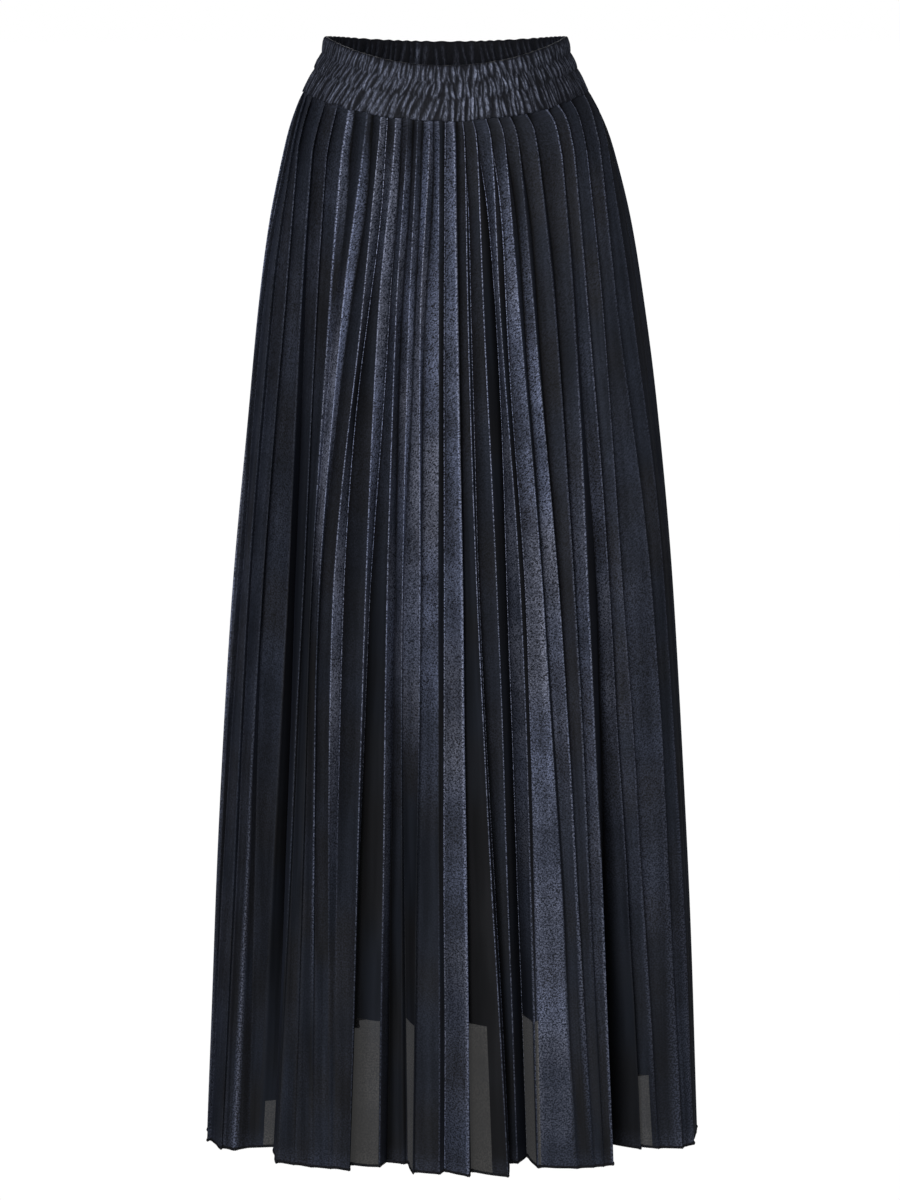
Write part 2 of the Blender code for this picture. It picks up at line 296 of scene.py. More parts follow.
@dataclass(frozen=True)
class SkirtForm:
    """Outer form of the skirt, shared by all its pieces.

    Heights, drops and dips are in metres. The depth at the top and the laps and depths of
    the back pleats are in millimetres, like those of the front pleats. The back's start and
    drifts are shares of the pitch from one of its pleats to the next.
    """

    band_height: float = 0.046
    seam_gap: float = 0.0006
    rim_dip_front: float = 0.0218
    rim_dip_back: float = 0.0068
    hem_drop: float = 1.007
    hem_rise_back: float = 0.035
    hem_side_drop: float = 0.0035
    top_depth: float = 4.2
    top_share: float = 0.045
    hip_share: float = 0.18
    mid_share: float = 0.47
    fitting_rounds: int = 12
    back_pleats: int = 26
    back_start: float = 0.6
    back_lap_top: float = -3.0
    back_drifts: tuple[float, float] = (0.12, 0.22)
    back_laps: tuple[tuple[float, float], ...] = ((-2.0, 5.0), (0.0, 10.0))
    back_depths: tuple[tuple[float, float], ...] = ((8.0, 14.0), (10.0, 30.0))
    back_seed: int = 11

    def section(self, drop: Array) -> dict[str, Array]:
        """Outer size of the skirt at each of these levels."""
        drops = [section.drop for section in SECTIONS]
        return {name: smooth_curve(drops, [getattr(section, name) for section in SECTIONS], drop)
                for name in ("half_width", "front", "back", "shift_x", "shift_y")}

    def reach(self, bearing: Array, size: dict[str, Array]) -> Array:
        """Depth of the ring from its middle, on the front or on the back."""
        return np.where(np.cos(bearing) > 0, size["front"], size["back"])

    def rim_drop(self, bearing: Array) -> Array:
        """How far the rim of the waistband lies below its two sides."""
        dip = np.where(np.cos(bearing) > 0, self.rim_dip_front, self.rim_dip_back)
        return dip * np.cos(bearing) ** 2

    def cloth_drop(self, bearing: Array, share: Array) -> Array:
        """Level of the pleated cloth.

        Args:
            bearing: bearings round the skirt.
            share: shares of the way down from the seam to the hem.

        Returns:
            How far each place lies below the two sides of the waist.
        """
        seam = self.rim_drop(bearing) + self.band_height + self.seam_gap
        rise = self.hem_rise_back * np.maximum(-np.cos(bearing), 0.0) ** 2
        low = self.hem_drop + self.hem_side_drop * np.sin(bearing) ** 6 - rise
        return seam + (low - seam) * share

    def inward(self, bearing: Array, drop: Array) -> Array:
        """Level direction to the inside of the skirt, square to its outer ring.

        Args:
            bearing: bearings round the skirt.
            drop: levels below the two sides of the waist.

        Returns:
            A direction of length one, across and to the back, for each place.
        """
        size = self.section(drop)
        reach = self.reach(bearing, size)
        return unit(np.stack([-reach * np.sin(bearing), size["half_width"] * np.cos(bearing)], -1))

    def ring_point(self, bearing: Array, inset: Array, drop: Array) -> Array:
        """Points on or inside the outer ring.

        Args:
            bearing: bearings round the skirt.
            inset: how far each point lies inside the ring, in metres.
            drop: levels below the two sides of the waist.

        Returns:
            The points, with their three coordinates along the last axis.
        """
        size = self.section(drop)
        reach = self.reach(bearing, size)
        level = np.stack([size["shift_x"] + size["half_width"] * np.sin(bearing),
                          size["shift_y"] - reach * np.cos(bearing)], -1)
        level = level + np.asarray(inset)[..., None] * self.inward(bearing, drop)
        return np.concatenate([level, -np.asarray(drop)[..., None]], -1)

    def along_ring(self, length: Array, bearing: Array, drop: Array) -> Array:
        """Change of bearing that goes with a length along the ring.

        Args:
            length: lengths along the ring, in metres.
            bearing: bearings at which they are measured.
            drop: levels below the two sides of the waist.

        Returns:
            The change of bearing for each length.
        """
        size = self.section(drop)
        reach = self.reach(bearing, size)
        return length / np.hypot(size["half_width"] * np.cos(bearing), reach * np.sin(bearing))

    def front_bearing(self, across: Array, inset: Array, share: Array) -> Array:
        """Bearing of a fold of the front.

        Args:
            across: how far to the right the fold stands, in metres.
            inset: how far it lies inside the ring, in metres.
            share: shares of the way down.

        Returns:
            The bearing at each share, found by a few rounds of correction.
        """
        bearing = np.zeros_like(across)
        for _ in range(self.fitting_rounds):
            drop = self.cloth_drop(bearing, share)
            size = self.section(drop)
            in_x = self.inward(bearing, drop)[..., 0]
            sine = (across - size["shift_x"] - inset * in_x) / size["half_width"]
            bearing = np.arcsin(np.clip(sine, -0.999, 0.999))
        return bearing

    def front_folds(self, share: Array) -> Folds:
        """Folds of the front pleats.

        Args:
            share: shares of the way down.

        Returns:
            The outer and the inner fold of each pleat, from the left to the right.
        """
        zero = np.zeros_like(share)
        level = np.maximum(share, self.top_share)
        squeeze = (self.section(self.cloth_drop(zero, share))["half_width"]
                   / self.section(self.cloth_drop(zero, level))["half_width"])
        lean_back = np.maximum((share - self.hip_share) / (1 - self.hip_share), 0.0) ** 2
        bearings, insets = [], []
        for pleat in FRONT_PLEATS:
            across = smooth_curve([self.top_share, self.hip_share, self.mid_share, 1.0],
                                  [pleat.top, pleat.hip, pleat.mid, pleat.hem], level)
            lap = smooth_curve(LAP_SHARES, [pleat.lap_top, pleat.lap_high, pleat.lap_low,
                                            pleat.lap_mid, pleat.lap_hem], share)
            depth = smooth_curve([0, self.mid_share, 1],
                                 [self.top_depth, pleat.deep_mid, pleat.deep_hem], share)
            set_back = pleat.set_back * lean_back * MM
            outer = self.front_bearing(across * squeeze * MM, set_back, share)
            drop = self.cloth_drop(outer, share)
            bearings += [outer, outer + self.along_ring(lap * MM, outer, drop)]
            insets += [set_back, depth * MM]
        return Folds(np.stack(bearings, 1), np.stack(insets, 1))

    def back_folds(self, share: Array) -> Folds:
        """Folds of the back pleats, evenly spread with some unevenness.

        Args:
            share: shares of the way down.

        Returns:
            The outer and the inner fold of each pleat, from the right side to the left.
        """
        uneven = random.Random(self.back_seed)
        pitch = math.pi / self.back_pleats
        knots = [0, self.mid_share, 1]
        bearings, insets = [], []
        for number in range(self.back_pleats):
            drift_top, drift_hem = [uneven.uniform(-most, most) for most in self.back_drifts]
            laps = [uneven.uniform(*limits) for limits in self.back_laps]
            depths = [uneven.uniform(*limits) for limits in self.back_depths]
            drift = drift_top + (drift_hem - drift_top) * share
            outer = math.pi / 2 + pitch * (number + self.back_start + drift)
            lap = smooth_curve(knots, [self.back_lap_top, *laps], share)
            depth = smooth_curve(knots, [self.top_depth, *depths], share)
            drop = self.cloth_drop(outer, share)
            bearings += [outer, outer + self.along_ring(lap * MM, outer, drop)]
            insets += [np.zeros_like(share), depth * MM]
        return Folds(np.stack(bearings, 1), np.stack(insets, 1))


# ---- finishes ------------------------------------------------------------------------

def colour(red: float, green: float, blue: float) -> Colour:
    """A solid colour, in linear light."""
    return (red, green, blue, 1.0)


class Recipe:
    """Small helper that adds the nodes of one procedural material."""

    def __init__(self, name: str) -> None:
        """Starts a material with a Principled shader.

        Args:
            name: the material's name.
        """
        self.material = bpy.data.materials.new(name)
        self.material.use_nodes = True
        self.tree = self.material.node_tree
        self.shader = self.tree.nodes["Principled BSDF"]

    def put(self, target: Socket, value: object) -> None:
        """Links a socket to the target, or sets a plain value on it.

        Args:
            target: the input to feed.
            value: a socket, a plain value, or None to leave the input alone.
        """
        if isinstance(value, Socket):
            self.tree.links.new(value, target)
        elif value is not None:
            target.default_value = value

    def set_shader(self, sockets: dict[str, object]) -> None:
        """Feeds the shader's inputs with links or plain values, by name."""
        for name, value in sockets.items():
            self.put(self.shader.inputs[name], value)

    def node(self, kind: str, sockets: dict[str, object] | None = None,
             **settings: object) -> bpy.types.Node:
        """Adds a node.

        Args:
            kind: the node's type, without its ShaderNode prefix.
            sockets: links or plain values for its inputs, by name or number.
            settings: its own properties.

        Returns:
            The new node.
        """
        node = self.tree.nodes.new("ShaderNode" + kind)
        for key, value in settings.items():
            setattr(node, key, value)
        for key, value in (sockets or {}).items():
            self.put(node.inputs[key], value)
        return node

    def attribute(self, name: str) -> Socket:
        """Number that the mesh stores at each point under this name."""
        return self.node("Attribute", attribute_name=name).outputs["Fac"]

    def math(self, kind: str, first: object, second: object = None,
             third: object = None) -> Socket:
        """Works out one sum on numbers.

        Args:
            kind: what the sum does, such as ADD.
            first: its first number, a link or a plain value, like the others.
            second: its second number, where it has one.
            third: its third number, where it has one.

        Returns:
            The result.
        """
        node = self.node("Math", operation=kind)
        for socket, value in zip(node.inputs, (first, second, third)):
            self.put(socket, value)
        return node.outputs[0]

    def product(self, *factors: object) -> Socket:
        """Multiplies two or more numbers, from the first to the last."""
        return functools.reduce(lambda first, second: self.math("MULTIPLY", first, second), factors)

    def span(self, value: object, low: float, high: float, to_low: float = 0.0,
             to_high: float = 1.0) -> Socket:
        """Moves a number smoothly from one range to another, kept inside it.

        Args:
            value: the number.
            low: where its range starts.
            high: where its range ends.
            to_low: the result at the start.
            to_high: the result at the end.

        Returns:
            The result.
        """
        return self.node("MapRange", {"Value": value, "From Min": low, "From Max": high,
                                      "To Min": to_low, "To Max": to_high},
                         interpolation_type="SMOOTHSTEP").outputs["Result"]

    def blend(self, share: object, first: object, second: object) -> Socket:
        """Mixes two colours.

        Args:
            share: how much of the second colour shows, from 0 to 1.
            first: the first colour.
            second: the second colour.

        Returns:
            The colour between them.
        """
        return self.node("Mix", {0: share, 6: first, 7: second}, data_type="RGBA").outputs[2]

    def noise(self, place: object, scale: float, detail: float = 2.0,
              distortion: float = 0.0) -> Socket:
        """Cloudy pattern.

        Args:
            place: where the pattern is read.
            scale: its clouds per metre.
            detail: how many finer patterns lie on it.
            distortion: how far its clouds are curled.

        Returns:
            The pattern, a number about 0.5.
        """
        return self.node("TexNoise", {"Vector": place, "Scale": scale, "Detail": detail,
                                      "Distortion": distortion}).outputs["Fac"]

    def bump(self, height: object, distance: float, strength: float = 1.0) -> None:
        """Raises the surface by a height, in metres at full height."""
        node = self.node("Bump", {"Height": height, "Distance": distance, "Strength": strength})
        self.put(self.shader.inputs["Normal"], node.outputs["Normal"])


SHEEN_TINT = colour(0.5, 0.6, 1.0)


@dataclass(frozen=True)
class ClothSockets:
    """Places and patterns on the cloth that the parts of a satin recipe share."""

    cloth: Socket
    down: Socket
    face: Socket
    crinkle: Socket
    strand: Socket
    painted_groove_shade_factor: Socket


@dataclass(frozen=True)
class FoiledSatin:
    """Thin midnight satin with a crinkled shimmer on its lit faces, painted into its colour as
    painted light.

    Scales are per metre of flat cloth, and steps are how far the pattern moves on from one
    pleat face, or from one lane of a face, to the next. The painted lift is painted light that a
    sheer finish gets all over, and the painted hem lift is the painted light that the last two
    centimetres above a hem add.
    """

    name: str
    # dark and navy are the cloth's own unlit colour; blue and grey are painted light, the tones of
    # its painted lit faces
    dark: Colour = colour(0.0118, 0.0122, 0.0142)
    navy: Colour = colour(0.0118, 0.0142, 0.0205)
    blue: Colour = colour(0.178, 0.209, 0.328)
    grey: Colour = colour(0.198, 0.215, 0.292)
    alpha: float = 1.0
    painted_lift: float = 0.0
    painted_hem_lift: float = 0.11
    crinkle_scale: float = 300.0
    crinkle_slant: float = 0.7
    crinkle_height: float = 0.0007
    grain_scale: float = 600.0
    cloud_scale: float = 17.0
    hue_scale: float = 4.5
    dull_scale: float = 8.0
    strand_scale: float = 7.0
    face_step: float = 3.1
    lane_step: float = 1.9
    metallic: float = 0.3
    specular: float = 0.14
    sheen: float = 0.02

    def sockets(self, recipe: Recipe) -> ClothSockets:
        """Lays out the places and patterns on the cloth.

        Args:
            recipe: the material to add them to.

        Returns:
            The places and patterns.
        """
        cloth = recipe.node("TexCoord").outputs["UV"]
        down = recipe.node("SeparateXYZ", {0: cloth}).outputs[1]
        face = recipe.node("CombineXYZ", {
            0: recipe.product(recipe.attribute("face"), self.face_step), 1: down})
        lane = recipe.node("CombineXYZ", {
            0: recipe.product(recipe.attribute("lane"), self.lane_step),
            1: recipe.product(down, self.strand_scale)})
        slanted = recipe.node("Mapping", {
            "Vector": cloth, "Rotation": (0, 0, self.crinkle_slant), "Scale": (1.0, 0.7, 1.0)})
        # painted shade far down in the grooves, strongest near the inner folds
        sunk_painted_shade = recipe.math("POWER", recipe.attribute("deep"), 4.0)
        return ClothSockets(
            cloth=cloth, down=down, face=face.outputs[0],
            crinkle=recipe.noise(slanted.outputs[0], self.crinkle_scale, 2.0, 1.4),
            strand=recipe.noise(lane.outputs[0], 1.0, 2.0),
            painted_groove_shade_factor=recipe.math("MULTIPLY_ADD", sunk_painted_shade, -0.85, 1.0))

    def lit(self, recipe: Recipe, at: ClothSockets) -> Socket:
        """How brightly the foil is painted as lit: painted sparkle on its crinkles and painted
        highlights on the edges of its folds.

        Args:
            recipe: the material.
            at: its places and patterns.

        Returns:
            A share from 0 to 1.
        """
        # painted light: a lift all over a sheer finish, and more in the last centimetres above the
        # hem
        painted_lift = recipe.span(at.down, 0.984, 1.004, self.painted_lift, self.painted_lift + self.painted_hem_lift)
        cloudy = recipe.span(recipe.noise(at.face, self.cloud_scale, 3.0), 0.3, 0.7, 0.56, 1.26)
        streaky = recipe.span(at.strand, 0.35, 0.65, 0.82, 1.16)
        # painted light: the shine figures and the painted lift, dimmed by painted shade in the
        # grooves
        level = recipe.product(recipe.math("ADD", recipe.attribute("shine"), painted_lift), cloudy,
                               at.painted_groove_shade_factor, streaky)
        squiggle = recipe.math("ABSOLUTE", recipe.math("SUBTRACT", at.crinkle, 0.5))
        grain = recipe.span(recipe.noise(at.cloth, self.grain_scale, 1.5), 0.44, 0.58)
        sparkle = recipe.math("MULTIPLY_ADD", recipe.span(squiggle, 0.10, 0.02),
                              recipe.span(at.down, 0.3, 0.9, 0.68, 0.32),
                              recipe.span(grain, 0.0, 1.0, 0.04, 0.64))
        # painted highlight along the edges of the folds
        wear_and_edge_highlight = recipe.product(recipe.attribute("edge"), recipe.span(grain, 0.0, 1.0, 0.25, 2.1))
        total = recipe.math("ADD", recipe.product(level, sparkle), wear_and_edge_highlight)
        return recipe.node("Clamp", {"Value": total}).outputs[0]

    def unlit(self, recipe: Recipe, at: ClothSockets) -> Socket:
        """Colour of the cloth where nothing lights it, with painted shade that darkens it towards
        the inner folds.

        Args:
            recipe: the material.
            at: its places and patterns.

        Returns:
            The colour.
        """
        cloudy = recipe.span(recipe.noise(at.face, self.dull_scale, 1.0), 0.4, 0.6)
        # painted shade: darker towards the inner folds and far down in the grooves
        shade = recipe.product(at.painted_groove_shade_factor,
                               recipe.span(recipe.attribute("deep"), 0.0, 1.0, 1.12, 0.55),
                               recipe.span(at.strand, 0.35, 0.65, 0.80, 1.20))
        return recipe.node("VectorMath", {0: recipe.blend(cloudy, self.dark, self.navy),
                                          "Scale": shade}, operation="SCALE").outputs[0]

    def make(self) -> bpy.types.Material:
        """Mixes the finish.

        Returns:
            A material that reads the cloth's own figures and paints their light and shade into its
            colour.
        """
        recipe = Recipe(self.name)
        at = self.sockets(recipe)
        lit = self.lit(recipe, at)
        hue = recipe.span(recipe.noise(at.face, self.hue_scale, 1.0), 0.42, 0.58)
        tone = recipe.blend(recipe.product(hue, recipe.span(lit, 0.1, 0.4)), self.blue, self.grey)
        # the base colour paints the light: lit tones where the painted light falls, the unlit
        # colour with its painted shade elsewhere
        recipe.set_shader({
            "Base Color": recipe.blend(lit, self.unlit(recipe, at), tone),
            "Roughness": recipe.span(lit, 0.0, 0.8, 0.72, 0.42), "Metallic": self.metallic,
            "Specular IOR Level": self.specular, "Sheen Weight": self.sheen,
            "Sheen Roughness": 0.4, "Sheen Tint": SHEEN_TINT, "Alpha": self.alpha})
        pressed = recipe.math("ADD", recipe.attribute("shine"), 0.08)
        recipe.bump(recipe.product(at.crinkle, pressed), self.crinkle_height, 0.8)
        return recipe.material


@dataclass(frozen=True)
class GatheredSatin:
    """The same satin gathered tight, so that it shows more of its glossy side, with painted
    highlights and painted shade in its colour.
    """

    name: str = "waistband cloth"
    # dark is the cloth's unlit colour; light is painted light, the tone of its painted highlights
    dark: Colour = colour(0.0058, 0.0063, 0.0095)
    light: Colour = colour(0.275, 0.308, 0.430)
    crinkle_scale: float = 900.0
    streak_scale: float = 820.0
    streak_slant: float = 0.25
    streak_stretch: float = 0.24
    crease_height: float = 0.0009

    def make(self) -> bpy.types.Material:
        """Mixes the finish.

        Returns:
            A material that reads the band's crest figures and paints them in as painted highlights
            and shade.
        """
        recipe = Recipe(self.name)
        cloth = recipe.node("TexCoord").outputs["UV"]
        crinkle = recipe.noise(cloth, self.crinkle_scale, 2.5, 1.3)
        slanted = recipe.node("Mapping", {
            "Vector": cloth, "Rotation": (0, 0, self.streak_slant),
            "Scale": (1.0, self.streak_stretch, 1.0)})
        streaks = recipe.noise(slanted.outputs[0], self.streak_scale, 2.0, 0.9)
        # painted light: the band's shine figures, broken up by streaks and crinkles
        lit = recipe.product(recipe.attribute("shine"),
                             recipe.span(streaks, 0.40, 0.60, 0.35, 1.35),
                             recipe.span(crinkle, 0.40, 0.60, 0.70, 1.20))
        share = recipe.node("Clamp", {"Value": lit}).outputs[0]
        recipe.set_shader({
            "Base Color": recipe.blend(share, self.dark, self.light),
            "Roughness": recipe.span(lit, 0.0, 0.8, 0.65, 0.42), "Metallic": 0.3,
            "Specular IOR Level": 0.2, "Sheen Weight": 0.03, "Sheen Tint": SHEEN_TINT})
        recipe.bump(recipe.math("MULTIPLY_ADD", crinkle, 0.4, streaks), self.crease_height, 0.8)
        return recipe.material


@dataclass(frozen=True)
class Thread:
    """Matt black overlocking thread."""

    name: str = "hem thread"
    shade: Colour = colour(0.0030, 0.0032, 0.0045)
    wear_and_edge_highlight: Colour = colour(0.014, 0.015, 0.020)
    fibre_scale: float = 2600.0
    fibre_height: float = 0.0003

    def make(self) -> bpy.types.Material:
        """Mixes the finish.

        Returns:
            A material with fine twisted fibres.
        """
        recipe = Recipe(self.name)
        place = recipe.node("TexCoord").outputs["Object"]
        fibre = recipe.noise(place, self.fibre_scale, 2.0, 0.6)
        recipe.set_shader({
            "Base Color": recipe.blend(recipe.span(fibre, 0.4, 0.7), self.shade, self.wear_and_edge_highlight),
            "Roughness": recipe.span(fibre, 0.3, 0.7, 0.7, 0.9), "Specular IOR Level": 0.2})
        recipe.bump(fibre, self.fibre_height, 0.5)
        return recipe.material


# ---- pleated panels ------------------------------------------------------------------

class Side(Enum):
    """The two panels that are sewn together at the sides."""

    FRONT = "front_panel"
    BACK = "back_panel"


@dataclass(frozen=True)
class Crease:
    """Soft ridge (or trough, if its height is negative) that runs down the cloth.

    Its bearing is in degrees, its start and end are shares of the way down, its width and
    height are in millimetres, and its slant in degrees of bearing from start to end.
    """

    bearing: float
    start: float
    end: float
    width: float
    height: float
    slant: float = 0.0


CREASES = (
    Crease(-46, 0.62, 1.02, 5.0, 1.5, -2.0), Crease(-38, 0.50, 0.95, 6.0, -1.6, -1.0),
    Crease(-34, 0.70, 1.02, 5.0, 1.4), Crease(-26, 0.40, 0.72, 5.0, -1.2, -1.0),
    Crease(-19, 0.66, 1.02, 6.0, 1.5, -1.0), Crease(-8, 0.72, 1.0, 4.0, 1.0),
    Crease(4, 0.55, 0.98, 6.0, -1.3, 1.0), Crease(8, 0.78, 1.02, 4.0, 1.1),
    Crease(22, 0.52, 0.90, 7.0, 1.6, 1.5), Crease(27, 0.74, 1.02, 5.0, -1.5, 1.0),
    Crease(37, 0.60, 1.02, 6.0, 1.3, 2.0), Crease(47, 0.45, 0.80, 6.0, -1.4, 2.0),
    Crease(56, 0.68, 1.02, 6.0, 1.5, 1.0), Crease(66, 0.30, 0.66, 6.0, 1.2, 1.0),
    Crease(-60, 0.34, 0.70, 6.0, 1.3, -1.5), Crease(-70, 0.60, 1.0, 7.0, -1.5, -1.0),
    Crease(84, 0.55, 1.02, 6.0, 1.4, 2.0), Crease(98, 0.40, 0.78, 7.0, -1.5, 1.0),
    Crease(112, 0.62, 1.02, 7.0, 1.8, 2.0), Crease(124, 0.50, 0.86, 6.0, 1.3),
    Crease(138, 0.70, 1.02, 8.0, -1.8, -1.0), Crease(149, 0.44, 0.80, 6.0, 1.4, 1.0),
    Crease(163, 0.66, 1.02, 8.0, 1.9, 1.0), Crease(176, 0.52, 0.92, 7.0, -1.6),
    Crease(-171, 0.70, 1.02, 7.0, 1.7, -1.0), Crease(-158, 0.46, 0.84, 7.0, 1.4, -1.0),
    Crease(-143, 0.64, 1.02, 8.0, -1.9, -2.0), Crease(-129, 0.54, 0.90, 6.0, 1.4),
    Crease(-117, 0.68, 1.02, 7.0, 1.7, -1.0), Crease(-101, 0.42, 0.82, 7.0, -1.3, -1.0),
    Crease(-89, 0.60, 1.02, 6.0, 1.5, -2.0),
)


@dataclass(frozen=True)
class Cut:
    """Flat cut of one panel: its width at the hem, its length, and its area."""

    width: float
    length: float
    area: float


@dataclass(frozen=True)
class FoldFigures:
    """Painted shine after each fold, painted highlight on each fold's edge, and rounding of each in
    metres.
    """

    shine: Array
    edge: Array
    rounding: Array


@dataclass(frozen=True)
class RoundedFolds:
    """Where the rounding of each fold starts, the point that its curve leans to, and its end."""

    start: Array
    peak: Array
    end: Array


@dataclass
class Columns:
    """Columns of the cloth's points, in their order round the skirt, with their figures.

    The painted shine, the painted highlight on each fold's edge and the painted shade in the
    grooves change down a column. Face and lane are one number for each, which tell the faces and
    the strands on them apart.
    """

    points: list[Array] = field(default_factory=list)
    shine: list[Array] = field(default_factory=list)
    edge: list[Array] = field(default_factory=list)
    deep: list[Array] = field(default_factory=list)
    face: list[float] = field(default_factory=list)
    lane: list[float] = field(default_factory=list)

    def add(self, **column: object) -> None:
        """Adds the next column, given by the names above."""
        for name, value in column.items():
            getattr(self, name).append(value)

    def grids(self) -> dict[str, Array]:
        """Sets all columns side by side, a row for each level.

        Returns:
            The grids, by the names above.
        """
        tall = {name: np.stack(getattr(self, name), 1)
                for name in ("points", "shine", "edge", "deep")}
        rows = len(tall["points"])
        return tall | {name: np.repeat([getattr(self, name)], rows, 0)
                       for name in ("face", "lane")}


@dataclass
class PleatedCloth:
    """The pleated cloth all round the skirt, from which both panels are cut.

    Lengths are in metres, except that the roundings are in millimetres like a pleat's own.
    A rounding takes up no more than the round share of a face. Columns that stay opaque turn
    sheer at never, a share of the way down that lies past the hem. The points are how many
    columns each stretch of a pleat has: its outer fold, the face that returns inwards, its
    inner fold, and the face that rises to the next outer fold.
    """

    form: SkirtForm
    inner_round: float = 1.0
    sharp_round: float = 1.7
    back_round: float = 1.8
    round_share: float = 0.42
    tuck: float = 0.0010
    lean_left: float = 0.045
    wander: float = 0.0005
    wander_knots: int = 8
    wander_seed: int = 23
    ripple: float = 0.0005
    ripples: int = 9
    crease_limit: float = 0.0009
    wall: float = 0.0004
    never: float = 2.0
    return_points: int = 2
    face_points: int = 4
    outer_points: int = 5
    inner_points: int = 3

    @property
    def pleats(self) -> int:
        """Number of pleats all round the skirt."""
        return len(FRONT_PLEATS) + self.form.back_pleats

    @property
    def per_pleat(self) -> int:
        """Number of columns of points in one pleat."""
        return self.outer_points + self.return_points + self.inner_points + self.face_points

    def levels(self) -> Array:
        """Shares of the way down of the rows of points, closer together at both ends.

        Returns:
            The shares, from just inside the waistband to the hem.
        """
        top = [-0.0035, 0.0, 0.0015, 0.003, 0.005, 0.0075, 0.0105, 0.014, 0.018, 0.023,
               0.029, 0.036, 0.044]
        bottom = [0.985, 0.990, 0.994, 0.997, 1.0]
        return np.array(top + list(np.linspace(0.053, 0.979, 104)) + bottom)

    def folds(self, share: Array) -> Folds:
        """All folds of the skirt as they hang.

        Args:
            share: shares of the way down.

        Returns:
            The folds of the front pleats, and then those of the back.
        """
        front, back = self.form.front_folds(share), self.form.back_folds(share)
        folds = Folds(np.concatenate([front.bearing, back.bearing], 1),
                      np.concatenate([front.inset, back.inset], 1))
        return self.gathered_folds(self.wandering_folds(folds, share), share)

    def wandering_folds(self, folds: Folds, share: Array) -> Folds:
        """Folds with the slight wander that pressed cloth has when it hangs.

        Args:
            folds: the folds as they are pressed.
            share: shares of the way down.

        Returns:
            The folds, moved a little along and into the skirt.
        """
        bearing, inset = folds.bearing.copy(), folds.inset.copy()
        uneven = random.Random(self.wander_seed)
        knots = np.linspace(0, 1, self.wander_knots)
        drop = self.form.cloth_drop(bearing, share[:, None])
        size = self.wander * ease(0.05, 0.3, share)
        for fold in range(bearing.shape[1]):
            shift = smooth_curve(knots, [uneven.uniform(-1, 1) for _ in knots], share)
            sink = smooth_curve(knots, [uneven.uniform(0, 1) for _ in knots], share)
            bearing[:, fold] += self.form.along_ring(shift * size, bearing[:, fold],
                                                     drop[:, fold])
            inset[:, fold] += sink * size
        return Folds(bearing, inset)

    def gathered_folds(self, folds: Folds, share: Array) -> Folds:
        """Folds as they are gathered into the seam under the waistband.

        Near the seam the outer folds curve over towards the left, most of all at the right
        side, and those at the left side lean towards the front. All folds are pressed flat
        inside the band's wall.

        Args:
            folds: the folds as they hang freely.
            share: shares of the way down.

        Returns:
            The folds, gathered at their tops.
        """
        bearing, inset, down = folds.bearing.copy(), folds.inset, np.maximum(share, 0)
        hook = np.exp(-(down / 0.0085) ** 1.3)
        lean = self.lean_left * np.exp(-(down / 0.022) ** 1.3)
        for fold in range(0, bearing.shape[1], 2):
            face = (bearing[:, fold] - bearing[:, fold - 1] + math.pi) % math.tau - math.pi
            way = 0.3 + 0.7 * float(ease(0.15, 0.75, math.sin(bearing[0, fold])))
            bearing[:, fold] -= way * hook * np.minimum(0.62 * np.abs(face), 0.06)
            bearing[:, fold] += lean * float(ease(0.60, 0.90, -math.sin(bearing[0, fold])))
        tuck = self.tuck * np.exp(-(down / 0.0045) ** 1.5)
        pressed = 0.2 + 0.8 * ease(0.0, 0.010, share)
        return Folds(bearing, inset * pressed[:, None] + tuck[:, None])

    def figures(self, share: Array) -> FoldFigures:
        """Painted light and rounding of every fold: painted shine after it and a painted highlight
        on its edge.

        Args:
            share: shares of the way down.

        Returns:
            The figures, a column for each fold.
        """
        uneven = random.Random(self.wander_seed + 1)
        shine, edge, rounding = [], [], []
        for pleat in FRONT_PLEATS:
            for figures in (pleat.shine_right, pleat.shine_left):
                shine.append(smooth_curve(
                    SHINE_SHARES, [(int(f) / 9) ** 1.25 for f in figures], share))
            for figures in (pleat.shine_edge, pleat.shine_inner):
                edge.append(smooth_curve(SHINE_SHARES, [int(f) / 9 for f in figures], share))
            rounding += [pleat.round * MM, self.inner_round * MM]
        for _ in range(self.form.back_pleats):
            # painted shine on the back faces at random, brighter on the faces that rise to the next
            # outer fold
            for low, high in ((0.02, 0.25), (0.10, 0.75)):
                values = [uneven.uniform(low, high) for _ in SHINE_SHARES]
                shine.append(smooth_curve(SHINE_SHARES, values, share))
            # painted highlight on the edges of the back's outer folds
            values = [uneven.uniform(0.1, 0.7) for _ in SHINE_SHARES]
            edge += [smooth_curve(SHINE_SHARES, values, share), np.zeros_like(share)]
            rounding += [self.back_round * MM, self.inner_round * MM]
        return FoldFigures(np.stack(shine, 1), np.stack(edge, 1), np.array(rounding))

    def fold_depths(self, inset: Array) -> Array:
        """Depth between the outer and the inner fold of each pleat, for both of them."""
        sunk = np.abs(inset - np.roll(inset, 1, 1))
        return np.where(np.arange(inset.shape[1]) % 2 == 0, np.roll(sunk, -1, 1), sunk)

    def grooves(self, bearing: Array, sunk: Array, share: Array) -> Array:
        """How much painted shade each inner fold gets.

        Args:
            bearing: bearings of the folds.
            sunk: depth of their pleats, in metres.
            share: shares of the way down.

        Returns:
            1 in a sharp fold or one sunk far in, less where a shallow one lies nearly flat.
        """
        shallow = ease(0.3, 0.7, share)[:, None] * (1 - ease(0.004, 0.014, sunk))
        side = ease(0.5, 0.75, np.abs(np.sin(bearing))) * ease(0.04, 0.09, share)[:, None]
        return (1 - shallow) * (1 - 0.8 * side * (1 - ease(0.011, 0.018, sunk)))

